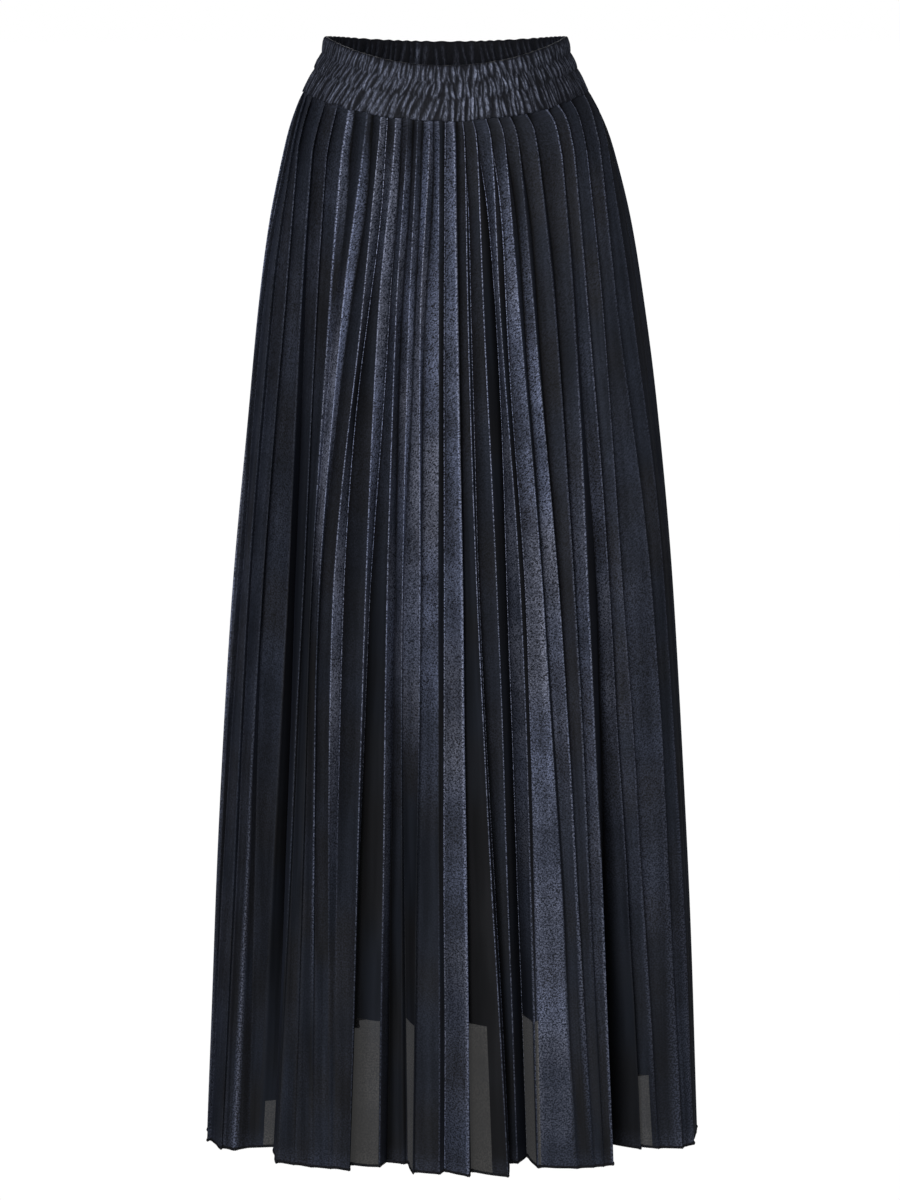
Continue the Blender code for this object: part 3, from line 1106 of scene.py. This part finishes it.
    def round_folds(self, corner: Array, reach: Array, sharp: Array) -> RoundedFolds:
        """Rounds the folds between their faces.

        Args:
            corner: where the faces would meet, a row for each level.
            reach: how far the rounding reaches along the faces, in metres.
            sharp: for each fold, whether it is pressed sharp.

        Returns:
            The rounded folds.
        """
        across = np.roll(corner, -1, 1) - corner
        most, ahead = self.round_share * np.linalg.norm(across, axis=-1), unit(across)
        into = np.minimum(reach, np.roll(most, 1, 1))[..., None]
        start = corner - np.roll(ahead, 1, 1) * into
        end = corner + ahead * np.minimum(reach, most)[..., None]
        lean = np.where(sharp, 0.5, 1.0)
        lean[1::2] = 0.0
        peak = corner + (corner - 0.5 * (start + end)) * lean[:, None]
        return RoundedFolds(start, peak, end)

    def add_fold(self, columns: Columns, fold: int, rounded: RoundedFolds,
                 figures: FoldFigures, groove: Array) -> None:
        """Adds the columns over one fold.

        Args:
            columns: the columns so far.
            fold: the fold's number; even ones are outer folds.
            rounded: all rounded folds.
            figures: looks of all folds.
            groove: how much painted shade this fold gets, at each level.
        """
        outer = fold % 2 == 0
        before, after = figures.shine[:, fold - 1], figures.shine[:, fold]
        for t in np.linspace(0, 1, self.outer_points if outer else self.inner_points):
            # painted shine passes from one face to the next; the painted highlight on the edge
            # peaks on the middle of the fold
            columns.add(
                points=((1 - t) ** 2 * rounded.start[:, fold]
                        + 2 * t * (1 - t) * rounded.peak[:, fold] + t * t * rounded.end[:, fold]),
                shine=before + (after - before) * ease(0.3, 0.7, t),
                edge=figures.edge[:, fold] * (1 - abs(2 * t - 1)) ** 0.7,
                deep=np.zeros_like(groove) if outer else groove,
                face=fold if t >= 0.5 else (fold - 1) % figures.shine.shape[1],
                lane=fold)

    def add_face(self, columns: Columns, fold: int, rounded: RoundedFolds,
                 figures: FoldFigures, groove: Array) -> None:
        """Adds the columns over the face between one fold and the next, slightly bowed.

        Args:
            columns: the columns so far.
            fold: the number of the fold before the face.
            rounded: all rounded folds.
            figures: looks of all folds.
            groove: how much painted shade this fold gets, at each level.
        """
        outer = fold % 2 == 0
        following = (fold + 1) % figures.shine.shape[1]
        across = rounded.start[:, following] - rounded.end[:, fold]
        length = np.linalg.norm(across, axis=-1)
        out = unit(np.stack([across[:, 1], -across[:, 0], np.zeros_like(length)], -1))
        inside = self.return_points if outer else self.face_points
        for t in np.linspace(0, 1, inside + 2)[1:-1]:
            bow = (0.01 if outer else 0.03) * length * math.sin(math.pi * t)
            # painted shine, a little less in the middle of the face
            columns.add(
                points=rounded.end[:, fold] + across * t + out * bow[:, None],
                shine=figures.shine[:, fold] * (0.88 if 0.3 < t < 0.7 else 1.0),
                edge=np.zeros_like(groove),
                deep=groove * (t if outer else 1.0 - t),
                face=fold,
                lane=fold + t)

    def lay_out(self) -> dict[str, Array]:
        """Lays out the cloth all round the skirt.

        Returns:
            Grids of its points, figures and flat coordinates by name, one row for each
            level, and the share of each row.
        """
        share = self.levels()
        folds, figures = self.folds(share), self.figures(share)
        drop = self.form.cloth_drop(folds.bearing, share[:, None])
        sunk = self.fold_depths(folds.inset)
        flat = ease(0.5, 0.95, share)[:, None] * (1 - ease(0.003, 0.008, sunk))
        growth = (0.75 + 0.5 * share)[:, None] * (1 + 2.5 * flat)
        rounded = self.round_folds(self.form.ring_point(folds.bearing, folds.inset, drop),
                                   figures.rounding * growth,
                                   figures.rounding < self.sharp_round * MM)
        grooves = self.grooves(folds.bearing, sunk, share)
        columns = Columns()
        for fold in range(grooves.shape[1]):
            self.add_fold(columns, fold, rounded, figures, grooves[:, fold])
            self.add_face(columns, fold, rounded, figures, grooves[:, fold])
        grids = columns.grids()
        points = grids["points"]
        ring = np.linalg.norm(np.roll(points, -1, 1) - points, axis=-1)
        along = np.concatenate([np.zeros((len(share), 1)), np.cumsum(ring, 1)[:, :-1]], 1)
        down = np.repeat(share[:, None] * self.form.hem_drop, points.shape[1], 1)
        return grids | {"points": self.crease(points, share), "along": along, "down": down,
                        "share": share}

    def crease(self, grid: Array, share: Array) -> Array:
        """Gives the cloth its soft creases and a slight ripple down its faces.

        Args:
            grid: its points, a row for each level.
            share: shares of the way down.

        Returns:
            The points, moved in or out.
        """
        size = self.form.section(-grid[..., 2])
        level_x = (grid[..., 0] - size["shift_x"]) / size["half_width"]
        level_y = grid[..., 1] - size["shift_y"]
        reach = np.where(level_y < 0, size["front"], size["back"])
        bearing = np.arctan2(level_x, -level_y / reach)
        lift = np.zeros(grid.shape[:2])
        rows = share[:, None]
        for crease in CREASES:
            t = np.clip((rows - crease.start) / (crease.end - crease.start), 0, 1)
            centre = np.radians(crease.bearing + crease.slant * t)
            away = (bearing - centre + math.pi) % math.tau - math.pi
            gap = away * 0.5 * (size["half_width"] + reach)
            fade = ease(crease.start, crease.start + 0.12, rows) * (
                1 - ease(crease.end - 0.08, crease.end + 0.02, rows))
            lift += crease.height * fade * np.exp(-(gap / (crease.width * MM)) ** 2) * MM
        uneven = random.Random(self.wander_seed + 2)
        for _ in range(self.ripples):
            turns, waves = uneven.randint(11, 34), uneven.uniform(4, 15)
            phase = uneven.uniform(0, math.tau)
            lift += (self.ripple / 3) * np.sin(turns * bearing + waves * rows + phase) * ease(
                0.03, 0.3, rows)
        moved = grid.copy()
        moved[..., :2] -= (self.form.inward(bearing, -grid[..., 2])
                           * np.minimum(lift, self.crease_limit)[..., None])
        return moved

    def cut_columns(self, side: Side) -> Array:
        """Finds the columns of one panel.

        Args:
            side: the panel.

        Returns:
            Their numbers, from one side seam to the other.
        """
        total = self.per_pleat * self.pleats
        half_face = self.face_points // 2
        split = self.per_pleat * len(FRONT_PLEATS) - half_face
        if side is Side.FRONT:
            return np.arange(-half_face, split + 1) % total
        return np.arange(split, total - half_face + 1)

    def sheer_columns(self) -> Array:
        """Finds where the cloth hangs in one layer.

        Returns:
            The share from which it does, for each column all round the skirt.
        """
        first = self.outer_points // 2 + 1
        right_columns = self.outer_points - first + self.return_points + 1
        left_columns = self.inner_points - 1 + self.face_points
        starts = []
        for pleat in FRONT_PLEATS:
            right = pleat.sheer_from if pleat.sheer_right else self.never
            sheer = round(pleat.sheer_left * left_columns)
            starts += [self.never] * first + [right] * right_columns
            starts += [pleat.sheer_from] * sheer + [self.never] * (left_columns - sheer)
        return np.array(starts + [self.never] * (self.per_pleat * self.form.back_pleats))

    def build(self, side: Side, grids: dict[str, Array]) -> bpy.types.Object:
        """Cuts one panel out of the laid-out cloth.

        Args:
            side: the panel.
            grids: the cloth's grids.

        Returns:
            The panel.
        """
        columns = self.cut_columns(side)
        points = grids["points"][:, columns]
        rows, width = points.shape[:2]
        panel = add_mesh(f"{side.value}_cloth", points.reshape(-1, 3),
                         grid_faces(rows, width, closed=False))
        for figure in ("shine", "edge", "deep", "face", "lane"):
            add_attribute(panel, figure, grids[figure][:, columns])
        along = grids["along"][:, columns]
        if side is Side.FRONT:
            whole = grids["along"][:, -1:] + MM
            along = np.where(columns[None, :] > self.per_pleat * len(FRONT_PLEATS) + 1,
                             along - whole, along)
        add_cloth_map(panel, along, grids["down"][:, columns])
        sheer = grids["share"][:-1, None] >= self.sheer_columns()[columns][None, :-1]
        panel.data.polygons.foreach_set("material_index", sheer.ravel().astype(np.int32))
        shell = panel.modifiers.new("wall", "SOLIDIFY")
        shell.thickness = self.wall
        shell.offset = 0.0
        return panel

    def dress(self, panel: bpy.types.Object, side: Side, cut: Cut,
              finishes: Sequence[bpy.types.Material]) -> None:
        """Gives a panel its finishes, hangs it on the root, hides its plain part and logs its size.

        Args:
            panel: the panel.
            side: which panel it is.
            cut: its flat cut.
            finishes: the satin, and its finish where one layer hangs.
        """
        for finish in finishes:
            panel.data.materials.append(finish)
        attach(panel, "root")
        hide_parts(side.value)
        LOG.info("%s: %d points, flat cut %.2f x %.2f m", panel.name,
                 len(panel.data.vertices), cut.width, cut.length)


# ---- waistband -----------------------------------------------------------------------

@dataclass(frozen=True)
class Tier:
    """One puffed tier of the waistband between two rows of stitching.

    It starts and ends at shares of the band's height. The slants are how far its gathers
    lean, in millimetres, at the left, the middle and the right; its height and puff are in
    millimetres too.
    """

    top: float
    bottom: float
    gathers: int
    slant_left: float
    slant_middle: float
    slant_right: float
    height: float
    puff: float


TIERS = (
    Tier(0.00, 0.30, 124, 1.8, 0.3, 0.0, 1.5, 0.4),
    Tier(0.30, 0.60, 114, 6.0, 1.6, -1.0, 1.6, 0.35),
    Tier(0.60, 1.00, 108, 9.0, 2.2, 0.6, 1.4, -0.45),
)


@dataclass
class Waistband:
    """Gathered waistband: cloth over elastic, held by two rows of stitching.

    Lengths are in metres, but the depth of the stitching is in millimetres, as a tier's
    sizes are. The ring and the inner ring are the radii by which bearings become lengths on
    its outside and its inside.
    """

    form: SkirtForm
    wall: float = 0.0022
    ring: float = 0.105
    inner_ring: float = 0.1
    columns: int = 1500
    outer_rows: int = 46
    inner_rows: int = 12
    stitch_depth: float = 0.65
    overhang: float = 0.0016
    sags: int = 70
    rim_scallop: float = 0.00035
    seam_bearing: float = 0.24
    seam_width: float = 0.0016
    seed: int = 5

    def lean(self, tier: Tier, centre: float) -> float:
        """How far the gathers of a tier lean where one stands, in millimetres.

        Args:
            tier: the tier.
            centre: the gather's bearing.

        Returns:
            The lean, less towards the back.
        """
        side, front = math.sin(centre), max(math.cos(centre), 0.0)
        lean = (tier.slant_middle * (1 - abs(side))
                + (tier.slant_left if side < 0 else tier.slant_right) * abs(side) ** 0.6)
        return lean * (0.3 + 0.7 * front)

    def gather(self, tier: Tier, number: int, bearing: Array, t: Array,
               uneven: np.random.RandomState) -> Array:
        """Height of one gather.

        Args:
            tier: the tier that it is on.
            number: its number; odd ones are minor gathers between two others.
            bearing: bearings of the columns.
            t: how far down the tier each row lies, from 0 to 1.
            uneven: source of its uneven sizes.

        Returns:
            Its height from 0 to 1, one row for each of the tier's rows.
        """
        minor = number % 2 == 1
        centre = math.tau / tier.gathers * (number / 2 + uneven.uniform(-0.26, 0.26))
        centre = (centre + math.pi) % math.tau - math.pi
        lean = self.lean(tier, centre) + uneven.uniform(-2.6, 2.6)
        size = uneven.uniform(0.6, 1.0) * (0.55 if minor else 1.0)
        width = uneven.uniform(1.0, 1.7) * (0.6 if minor else 1.0)
        middle, reach = uneven.uniform(0.15, 0.85), uneven.uniform(0.35, 0.95)
        shift = lean * (0.5 - t) + uneven.uniform(-1.5, 1.5) * np.sin(math.pi * t)
        narrow = np.exp(-np.abs((t - middle) / reach) ** 3)
        ends = ease(-0.16, 0.05, t) * (1 - ease(0.95, 1.16, t))
        at = centre + shift * MM / self.ring
        away = (bearing[None, :] - at[:, None] + math.pi) % math.tau - math.pi
        wide = width * MM * (0.55 + 0.45 * narrow)
        bump = np.exp(-np.abs(away * self.ring / wide[:, None]) ** 1.45)
        return (size * narrow * ends)[:, None] * bump

    def gather_heights(self, bearing: Array, share: Array) -> Array:
        """Height of the gathers on the whole outside of the band.

        Args:
            bearing: bearings of the columns.
            share: shares of the band's height, one for each row.

        Returns:
            Heights from 0 to about 1.
        """
        height = np.zeros((len(share), len(bearing)))
        uneven = np.random.RandomState(self.seed)
        for tier in TIERS:
            inside = (share >= tier.top - 0.05) & (share <= tier.bottom + 0.05)
            t = (share[inside] - tier.top) / (tier.bottom - tier.top)
            rows = np.zeros((len(t), len(bearing)))
            for number in range(tier.gathers * 2):
                rows = np.maximum(rows, self.gather(tier, number, bearing, t, uneven))
            height[inside] = np.maximum(height[inside], rows)
        return height

    def tier_form(self, share: Array) -> tuple[Array, Array]:
        """Plain form of the tiers, before they are gathered.

        Args:
            share: shares of the band's height.

        Returns:
            How far each row puffs out, and how high its gathers are, in millimetres.
        """
        puff, rise = np.zeros_like(share), np.zeros_like(share)
        for tier in TIERS:
            t = np.clip((share - tier.top) / (tier.bottom - tier.top), 0, 1)
            here = (share >= tier.top) & (share <= tier.bottom)
            arch = np.sin(math.pi * t) ** 0.6
            puff = np.where(here, -self.stitch_depth + (tier.puff + self.stitch_depth) * arch, puff)
            rise = np.where(here, tier.height, rise)
        return puff, rise

    def row_drop(self, bearing: Array, share: float) -> Array:
        """Level of one row of the band, with the small scallops of its rim.

        Args:
            bearing: bearings of the columns.
            share: share of the band's height.

        Returns:
            How far each point lies below the two sides of the waist.
        """
        scallop = self.rim_scallop * (1 + np.sin(bearing * 61 + 2.2 * np.sin(bearing * 9)))
        scallop = scallop * np.where(np.cos(bearing) > 0, 0.3, 1.0)
        return (self.form.rim_drop(bearing) + self.form.band_height * share
                + scallop * (1 - ease(0.0, 0.15, share)))

    def inner_row(self, bearing: Array, share: float) -> tuple[Array, Array]:
        """One row of the inside, with its own gathers and the seam at the back.

        Args:
            bearing: bearings of the columns.
            share: share of the band's height.

        Returns:
            The row's points and their painted shine.
        """
        wave = np.sin(bearing * 92 + 2.4 * np.sin(bearing * 7) + 3 * share
                      + 1.3 * np.sin(bearing * 31 + 5 * share))
        from_seam = ((bearing % math.tau) - math.pi - self.seam_bearing) * self.inner_ring
        seam = np.exp(-(from_seam / self.seam_width) ** 2)
        hollow = (0.15 - 0.5 * wave - 1.1 * seam) * math.sin(math.pi * share) ** 0.4
        # painted highlights on the crests of the inner gathers and on the seam, fading out towards
        # the rim
        lit = 0.01 + 0.12 * np.maximum(wave, 0) ** 1.3 + 0.35 * seam
        return (self.form.ring_point(bearing, self.wall + hollow * MM,
                                     self.row_drop(bearing, share)),
                lit * min(1.0, 5 * share))

    def ridge_shine(self, bearing: Array, gathers: Array, share: float) -> Array:
        """Painted shine of one row of the outside: painted highlights on crests and left slopes,
        painted shade in the valleys, on right slopes and towards the right side.

        Args:
            bearing: bearings of the columns.
            gathers: height of the row's gathers.
            share: share of the band's height.

        Returns:
            The painted shine of each point.
        """
        side = np.sin(bearing)
        # painted shade towards the right side and painted light towards the left, as if lit from
        # the left
        dim = 1 - 0.66 * ease(0.10, 0.95, side) * (np.cos(bearing) > -0.3)
        dim = dim + 0.34 * ease(0.1, 0.7, -side)
        slope = np.gradient(gathers, (bearing[1] - bearing[0]) * self.ring / MM)
        # painted highlights on the crests and left slopes, painted shade in the valleys and on
        # right slopes; the last factor fades it near the rim
        ridges = (0.02 + 0.15 * ease(0.04, 0.25, gathers) + 0.07 * ease(0.3, 0.6, gathers)
                  + 0.85 * np.clip(slope, 0, 1) ** 1.2 - 0.42 * np.clip(-slope, 0, 1)
                  + 0.60 * gathers ** 7)
        return np.maximum(ridges, 0.01) * dim * min(1.0, 0.12 + 25 * share)

    def build(self) -> bpy.types.Object:
        """Makes the band as one closed ring.

        Returns:
            The band.
        """
        bearing = np.linspace(-math.pi, math.pi, self.columns, endpoint=False)
        share = np.linspace(0, 1, self.outer_rows)
        gathers = self.gather_heights(bearing, share)
        puff, rise = self.tier_form(share)
        uneven = np.random.RandomState(self.seed + 1)
        sag = smooth_curve(np.linspace(-math.pi, math.pi, self.sags + 1),
                           np.append(uneven.uniform(-1, 1, self.sags), 0.0), bearing)
        overhang = self.overhang * (0.8 + 0.5 * sag + 0.6 * (gathers[-4] - 0.4))
        layers = [self.inner_row(bearing, height)
                  for height in np.linspace(0.985, 0.0, self.inner_rows)]
        for row, height in enumerate(share):
            raised = (puff[row] + rise[row] * gathers[row]) * MM
            drop = self.row_drop(bearing, height) + overhang * ease(0.72, 1.0, height)
            layers.append((self.form.ring_point(bearing, -raised, drop),
                           self.ridge_shine(bearing, gathers[row], height)))
        points, shine = (np.stack(values, 0) for values in zip(*layers))
        rows = len(layers)
        last = np.arange(self.columns)
        after, base = (last + 1) % self.columns, (rows - 1) * self.columns
        faces = [grid_faces(rows, self.columns, closed=True),
                 np.stack([base + last, last, after, base + after], 1)]
        band = add_mesh("waistband_cloth", points.reshape(-1, 3), np.concatenate(faces))
        add_attribute(band, "shine", shine)
        lengths = np.linalg.norm(np.diff(points, axis=0), axis=-1).mean(1)
        add_cloth_map(band, np.repeat(bearing[None, :] * self.ring, rows, 0),
                      np.repeat(np.append(0.0, np.cumsum(lengths))[:, None], self.columns, 1))
        return band

    def dress(self, band: bpy.types.Object, finish: bpy.types.Material) -> None:
        """Gives the band its finish, hangs it on the root, hides its plain part and logs how many
        points it has.

        Args:
            band: the band.
            finish: its cloth.
        """
        band.data.materials.append(finish)
        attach(band, "root")
        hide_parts("waistband")
        LOG.info("%s: %d points", band.name, len(band.data.vertices))


# ---- hem -----------------------------------------------------------------------------

@dataclass
class HemOverlock:
    """Overlocking thread wrapped closely round the raw edge, thicker at its corners.

    Lengths are in metres. The thread sits with its middle above the raw edge by a share of
    its half height. The knot is how much thicker it is at a sharp corner, and the twist how
    much it swells and thins at each stitch.
    """

    half_height: float = 0.0013
    half_width: float = 0.0008
    sit: float = 0.9
    knot: float = 0.45
    twist: float = 0.16
    stitch: float = 0.0016
    rings_per_stitch: int = 4
    corner_rings: int = 6
    soften_rings: int = 9
    sides: int = 6

    def thickness(self, at: Array, tangent: Array, turn: Array) -> Array:
        """How thick the thread is, as a share of its plain size.

        Args:
            at: length along the hem of each ring.
            tangent: direction of the hem at each ring.
            turn: angle of each point of a ring.

        Returns:
            The share, a row for each ring.
        """
        turning = np.linalg.norm(tangent - np.roll(tangent, self.corner_rings, 0), axis=1)
        soften = np.ones(self.soften_rings) / self.soften_rings
        turning = np.convolve(np.minimum(turning, 1.0), soften, mode="same")
        wave = 1 + self.twist * np.sin(math.tau * at[:, None] / self.stitch + turn[None, :])
        return wave * (1 + self.knot * turning[:, None])

    def build(self, side: Side, edge: Array) -> bpy.types.Object:
        """Makes the thread round the hem of one panel.

        Args:
            side: the panel.
            edge: points of the panel's lowest row.

        Returns:
            The wrapped thread as one tube.
        """
        steps = np.append(0.0, np.cumsum(np.linalg.norm(np.diff(edge, axis=0), axis=1)))
        rings = int(steps[-1] / self.stitch * self.rings_per_stitch)
        at = np.linspace(0, steps[-1], rings)
        line = np.stack([np.interp(at, steps, edge[:, axis]) for axis in range(3)], 1)
        line[:, 2] += self.half_height * self.sit
        tangent = unit(np.gradient(line, axis=0))
        across = unit(np.stack([tangent[:, 1], -tangent[:, 0], np.zeros(rings)], 1))
        turn = np.linspace(0, math.tau, self.sides, endpoint=False)
        size = self.thickness(at, tangent, turn)
        out, up = np.cos(turn) * size * self.half_width, np.sin(turn) * size * self.half_height
        points = (line[:, None, :] + across[:, None, :] * out[..., None]
                  + np.array([0, 0, 1.0]) * up[..., None])
        return add_mesh(f"{side.value}_hem", points.reshape(-1, 3),
                        grid_faces(rings, self.sides, closed=True)[:, ::-1])

    def dress(self, hem: bpy.types.Object, finish: bpy.types.Material) -> None:
        """Gives the thread its finish, hangs it on the root and logs how many points it has.

        Args:
            hem: the wrapped thread.
            finish: its finish.
        """
        hem.data.materials.append(finish)
        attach(hem, "root")
        LOG.info("%s: %d points", hem.name, len(hem.data.vertices))


# ---- studio --------------------------------------------------------------------------

@dataclass(frozen=True)
class SoftBox:
    """One soft studio light: where it stands, what it points at, its size and power."""

    name: str
    place: tuple[float, float, float]
    target: tuple[float, float, float]
    width: float
    height: float
    power: float

    def build(self) -> bpy.types.Object:
        """Hangs the light.

        Returns:
            The light.
        """
        light = bpy.data.lights.new(self.name, "AREA")
        light.shape = "RECTANGLE"
        light.size, light.size_y, light.energy = self.width, self.height, self.power
        box = bpy.data.objects.new(self.name, light)
        box.location = self.place
        aim = np.array(self.target) - np.array(self.place)
        level = math.hypot(aim[0], aim[1])
        box.rotation_euler = (math.atan2(level, -aim[2]), 0.0, math.atan2(-aim[0], aim[1]))
        bpy.context.scene.collection.objects.link(box)
        return box


@dataclass(frozen=True)
class Studio:
    """Pale plain studio with soft lights, seen at the photograph's angle.

    The camera's tilt is in degrees, and its lens and sensor are in millimetres.
    """

    camera_place: tuple[float, float, float] = (0.0035, -3.0, 0.10)
    camera_tilt: float = 11.4415
    camera_reach: float = 200.0
    lens: float = 100.7
    sensor: float = 36.0
    floor_level: float = -1.06
    floor_size: float = 60.0
    floor_glow: float = 1.02
    ambient: float = 0.13
    lights: tuple[SoftBox, ...] = (
        SoftBox("key", (-0.75, -3.4, 0.25), (0.0, 0.0, -0.50), 1.5, 2.2, 92.0),
        SoftBox("fill right", (2.6, -2.0, 0.3), (0.0, 0.0, -0.50), 1.2, 2.0, 14.0),
        SoftBox("behind", (0.0, 3.2, -0.1), (0.0, 0.0, -0.50), 1.6, 2.0, 55.0),
    )

    def build(self) -> None:
        """Sets up the camera, the lights, the floor and the pale surroundings."""
        self.camera()
        for light in self.lights:
            light.build()
        self.surround()
        self.floor()

    def camera(self) -> None:
        """Stands the camera where the photograph was taken from."""
        scene = bpy.context.scene
        camera = bpy.data.cameras.new("camera")
        camera.lens, camera.sensor_width, camera.clip_end = (
            self.lens, self.sensor, self.camera_reach)
        stand = bpy.data.objects.new("camera", camera)
        stand.location = self.camera_place
        stand.rotation_euler = (math.radians(90 - self.camera_tilt), 0.0, 0.0)
        scene.collection.objects.link(stand)
        scene.camera = stand
        scene.view_settings.view_transform = "Standard"

    def surround(self) -> None:
        """Dim even light from all round, with a white background."""
        world = bpy.data.worlds.new("studio")
        world.use_nodes = True
        tree = world.node_tree
        background = tree.nodes["Background"]
        path = tree.nodes.new("ShaderNodeLightPath")
        strength = tree.nodes.new("ShaderNodeMapRange")
        strength.inputs["To Min"].default_value = self.ambient
        strength.inputs["To Max"].default_value = 1.0
        tree.links.new(path.outputs["Is Camera Ray"], strength.inputs["Value"])
        tree.links.new(strength.outputs["Result"], background.inputs["Strength"])
        background.inputs["Color"].default_value = colour(1.0, 1.0, 1.0)
        bpy.context.scene.world = world

    def floor(self) -> None:
        """Plain pale floor, far enough below the hem to take no dark shadow."""
        half = self.floor_size / 2
        corners = np.array([(-half, -half, self.floor_level), (half, -half, self.floor_level),
                            (half, half, self.floor_level), (-half, half, self.floor_level)])
        floor = add_mesh("floor", corners, np.array([[0, 1, 2, 3]]))
        recipe = Recipe("pale floor")
        speck = recipe.noise(recipe.node("TexCoord").outputs["Object"], 3.0)
        recipe.set_shader({
            "Base Color": colour(0.0, 0.0, 0.0), "Specular IOR Level": 0.0,
            "Emission Color": recipe.blend(speck, colour(0.99, 0.99, 0.99),
                                           colour(1.0, 1.0, 1.0)),
            "Emission Strength": self.floor_glow})
        floor.data.materials.append(recipe.material)
        floor.visible_diffuse = floor.visible_glossy = False


# ---- the whole skirt -----------------------------------------------------------------

CUTS = {Side.FRONT: Cut(0.81, 0.96, 0.66), Side.BACK: Cut(1.32, 0.96, 0.89)}


def main() -> None:
    """Builds and dresses every piece of the skirt, then its studio."""
    logging.basicConfig(level=logging.INFO, format="%(name)s: %(message)s")
    form = SkirtForm()
    cloth, overlock, band = PleatedCloth(form), HemOverlock(), Waistband(form)
    grids = cloth.lay_out()
    # the sheer finish's warm lit tones and its lift are painted light on the one layer near the hem
    satin = [FoiledSatin("pleated satin").make(),
             FoiledSatin("sheer pleated satin", blue=colour(0.205, 0.190, 0.172),
                         grey=colour(0.190, 0.185, 0.180), alpha=0.83, painted_lift=0.20).make()]
    thread = Thread().make()
    for side in Side:
        cut = CUTS[side]
        panel = cloth.build(side, grids)
        cloth.dress(panel, side, cut, satin)
        hem = overlock.build(side, grids["points"][-1, cloth.cut_columns(side)])
        overlock.dress(hem, thread)
    band.dress(band.build(), GatheredSatin().make())
    Studio().build()


if __name__ == "__main__":
    main()
